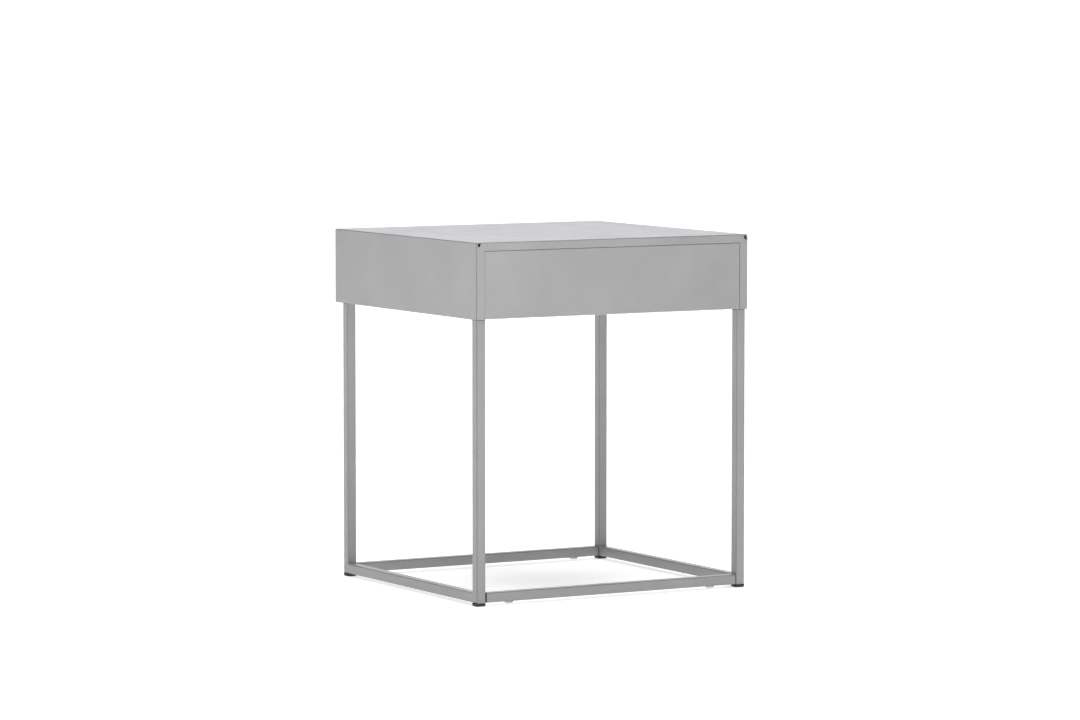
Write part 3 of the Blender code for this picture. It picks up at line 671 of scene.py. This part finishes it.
def slide_hole(strip, side, y, length, width):
    """A round or oblong hole through the web of a strip."""
    reach = (length - width) / 2
    outline = [(along + math.copysign(reach, along), v) for along, v in circle(width / 2, 24)]
    sign = -1 if side == "left" else 1
    where = slide_origin(side) + Vector((0, -sign * y, 0))
    cut(strip, prism(outline, 0.030, "X"), where)


def slides():
    """Ball-bearing slides: folded members with punched slots, ball cages and rivets."""
    outer = ((0.0104, 0.0195), (0.0104, 0.0222), (0.0006, 0.0222))
    middle = ((0.0106, 0.0148), (0.0106, 0.0167), (0.0035, 0.0167))
    inner = ((0.0055, 0.0117), (0.0121, 0.0117))
    outer_cage = ((0.0086, 0.0196), (0.00205, 0.0196))
    inner_cage = ((0.0092, 0.0142), (0.0048, 0.0142))
    rivet_holes = ((-FIXING, 0.0076, 0.0076), (FIXING, 0.0076, 0.0076))
    screw_holes = ((-FIXING, 0.0046, 0.0046), (FIXING, 0.0046, 0.0046))
    punched = ((-0.176, 0.0100, 0.0046), (-0.108, 0.0060, 0.0060), (-0.060, 0.0120, 0.0046))
    punched += tuple((-y, length, width) for y, length, width in reversed(punched))
    windows = ((-0.120, 0.0700, 0.0100), (0.0, 0.0700, 0.0100), (0.120, 0.0700, 0.0100))
    members = (
        ("slide_outer", "table", outer, SHEET, rivet_holes + punched),
        ("slide_middle", "middle", middle, SHEET, windows),
        ("slide_inner", "drawer", inner, SHEET, screw_holes + punched),
        ("ball_cage_outer", "outer_cage", outer_cage, CAGE_SHEET, ()),
        ("ball_cage_inner", "inner_cage", inner_cage, CAGE_SHEET, ()),
    )
    for side, _ in SIDES:
        for name, body, section, thickness, slots in members:
            node = f"{name}_{side}"
            strip = slide_strip(node, side, section, thickness)
            for y, length, width in slots:
                slide_hole(strip, side, y, length, width)
            if body not in ("table", "drawer"):
                body = f"{body}_{side}"
            attach(soften(bake(strip), 0.00010), body, ZINC, node)
        balls(side, "outer", 0.0062, 0.0196, 0.0018)
        balls(side, "inner", 0.0072, 0.0142, 0.0017)
        rivets(side)


def balls(side, cage, u, v, radius):
    """The steel balls of both races of a cage."""
    low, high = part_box(f"ball_cage_{cage}_{side}")
    per_row = 6
    pitch = (high.y - low.y) / per_row
    bm = bmesh.new()
    for row in (-v, v):
        for n in range(per_row):
            y = pitch * (n + 0.5 - per_row / 2)
            at = Matrix.Translation((u, y, row))
            bmesh.ops.create_uvsphere(bm, u_segments=20, v_segments=12, radius=radius, matrix=at)
    turn = 0 if side == "left" else 180
    name = f"balls_{cage}_{side}"
    rows = place(name, mesh_of(bm, name, ball_steel), slide_origin(side), (0, 0, turn))
    attach(rows, f"{cage}_cage_{side}", ZINC)


def rivets(side):
    """Flush rivets with a dimple, which hold the outer member to its bracket."""
    profile = (
        (0.0006, 0.0007), (0.0013, 0.0008), (0.0018, 0.00105), (0.0021, 0.0011), (0.0034, 0.0011),
        (0.0035, 0.0010), (0.0035, 0.0001),
    )
    for end in ENDS:
        node = f"slide_rivet_{end}_{side}"
        middle = centre(node)
        rivet = place(f"{node}_turned", mesh_of(lathe(profile), node, bolt_zinc))
        rivet.location = (slide_origin(side).x, middle.y, middle.z)
        rivet.rotation_euler = (0, math.radians(90 if side == "left" else -90), 0)
        attach(rivet, "table", ZINC, node)


def levers():
    """Release levers with a ribbed thumb tab."""
    outline = (
        (-0.0395, -0.0060), (-0.0400, -0.0055), (-0.0400, 0.0055), (-0.0395, 0.0060), (-0.0270, 0.0060),
        (-0.0255, 0.0054), (-0.0225, 0.0031), (-0.0060, 0.0042), (0.0060, 0.0042), (0.0220, 0.0022),
        (0.0232, 0.0030), (0.0240, 0.0050), (0.0280, 0.0040), (0.0280, -0.0022), (0.0060, -0.0042),
        (-0.0060, -0.0042), (-0.0225, -0.0031), (-0.0255, -0.0054), (-0.0270, -0.0060),
    )
    groove = Vector((0.0004, 0.0005, 0.001))
    for side, sign in SIDES:
        node = f"release_lever_{side}"
        low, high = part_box(node)
        thick = high.x - low.x
        at = Vector(((low.x + high.x) / 2, low.y + 0.040, (low.z + high.z) / 2))
        lever = place(f"{node}_ribbed", mesh_of(prism(outline[::-1], thick, "X"), node, plastic), at)
        cut(lever, prism(circle(0.0024), 2 * thick, "X"), at)
        for rib in range(5):
            y = at.y - 0.0380 + 0.0022 * rib
            for face in (low.x, high.x):
                corner = Vector((face, y, low.z)) - groove
                cut_box(lever, corner, Vector((face, y, high.z)) + groove)
        attach(soften(bake(lever), 0.00020), f"lever_{side}", PLASTIC, node)
        profile = (
            (0.0010, 0.0051), (0.0022, 0.0052), (0.0030, 0.0055), (0.0032, 0.0058), (0.0032, 0.0060),
            (0.0020, 0.0060), (0.0020, 0.0121),
        )
        pin = place(f"lever_pin_{side}", mesh_of(lathe(profile), "lever_pin", bolt_zinc))
        pin.location = (slide_origin(side).x, at.y, at.z)
        pin.rotation_euler = (0, math.radians(-sign * 90), 0)
        attach(pin, "drawer", ZINC)


# --------------------------------------------------------------------- light

def softbox(name, place_at, size, power, aim):
    light = bpy.data.lights.new(name, "AREA")
    light.shape = "RECTANGLE"
    light.size, light.size_y = size
    light.energy = power
    lamp = place(name, light, place_at)
    lamp.rotation_euler = (Vector(place_at) - Vector(aim)).to_track_quat("Z", "Y").to_euler()
    lamp.visible_camera = False


def bank(name, azimuth, elevation, strength, angle, colour):
    """A far soft light; azimuth 0 is the table's right side and 90 is behind it."""
    light = bpy.data.lights.new(name, "SUN")
    light.energy = strength
    light.angle = math.radians(angle)
    light.color = colour
    place(name, light, rotation=(90 - elevation, 0, 90 + azimuth))


def floor():
    """Plain white floor with a slight glow, which can be looked through from below."""
    shader = Shader("floor_white", (0.90, 0.90, 0.90), 0.9, specular=0.0)
    shader.surface.inputs["Emission Color"].default_value = (1, 1, 1, 1)
    shader.surface.inputs["Emission Strength"].default_value = 0.53
    clear = shader.node("ShaderNodeBsdfTransparent")
    facing = shader.node("ShaderNodeNewGeometry")
    mix = shader.node("ShaderNodeMixShader")
    shader.link(facing.outputs["Backfacing"], mix.inputs[0])
    shader.link(shader.surface.outputs["BSDF"], mix.inputs[1])
    shader.link(clear.outputs["BSDF"], mix.inputs[2])
    shader.link(mix.outputs["Shader"], shader.tree.nodes["Material Output"].inputs["Surface"])
    bm = bmesh.new()
    bmesh.ops.create_grid(bm, x_segments=1, y_segments=1, size=30)
    place("floor", mesh_of(bm, "floor", shader.material))


def surround():
    """White to the eye, but no light of its own."""
    world = bpy.data.worlds.new("studio")
    bpy.context.scene.world = world
    world.use_nodes = True
    tree = world.node_tree
    path = tree.nodes.new("ShaderNodeLightPath")
    tree.links.new(path.outputs["Is Camera Ray"], tree.nodes["Background"].inputs["Strength"])
    tree.nodes["Background"].inputs["Color"].default_value = (1.2, 1.2, 1.2, 1)


def lights():
    """A broad light overhead, a low one behind, and weak boxes for the sides that are seen."""
    cool = (0.955, 0.945, 1.0)
    bank("behind", 58, 22, 0.80, 50, cool)
    bank("overhead", 0, 90, 2.40, 60, (0.985, 0.98, 1.0))
    softbox("left", (-1.15, 0.60, 0.45), (1.0, 0.8), 2.2, aim=(-0.2, 0, 0.45))
    softbox("front", (0.05, -1.70, 0.45), (1.2, 0.9), 5.2, aim=(0, -0.2, 0.45))
    softbox("corner", (-0.55, -0.55, 0.95), (0.35, 0.35), 1.2, aim=(-0.23, -0.23, 0.50))


def camera():
    """Long lens from the front left, a little above the table top."""
    data = bpy.data.cameras.new("camera")
    data.lens = 160.13
    data.sensor_width = 36.0
    data.clip_end = 200
    obj = bpy.data.objects.new("camera", data)
    bpy.context.scene.collection.objects.link(obj)
    obj.location = (-3.6645, -6.3909, 0.9441)
    obj.rotation_euler = (math.radians(90 - 4.674), 0, math.radians(-29.837))
    bpy.context.scene.camera = obj


# ------------------------------------------------------------------ assembly

def dress_cad_nodes():
    """Gives each CAD node that stays visible its finish, and rounds its cut edges."""
    coats = {CASE_COAT: case_coat, FRAME_COAT: frame_coat, ZINC: zinc, PLASTIC: plastic}
    for entry in frame["record"]["subparts"]:
        obj = frame["nodes"][entry["node"]]
        coat = coats[entry["material_slot"]]
        if entry["node"].startswith("spigot"):
            coat = bare_steel  # the paint stops at the open joint
        obj.data.materials.clear()
        obj.data.materials.append(coat)
        if not obj.hide_render:
            soften(obj, 0.00012)


camera()
case_skin()
front_skin()
for side, _ in SIDES:
    side_frame(side)
for end in ENDS:
    crossbar(end)
    for side, _ in SIDES:
        glide(end, side)
bolts()
screws()
slides()
levers()
dress_cad_nodes()
floor()
surround()
lights()
bpy.context.scene.view_settings.view_transform = "Standard"
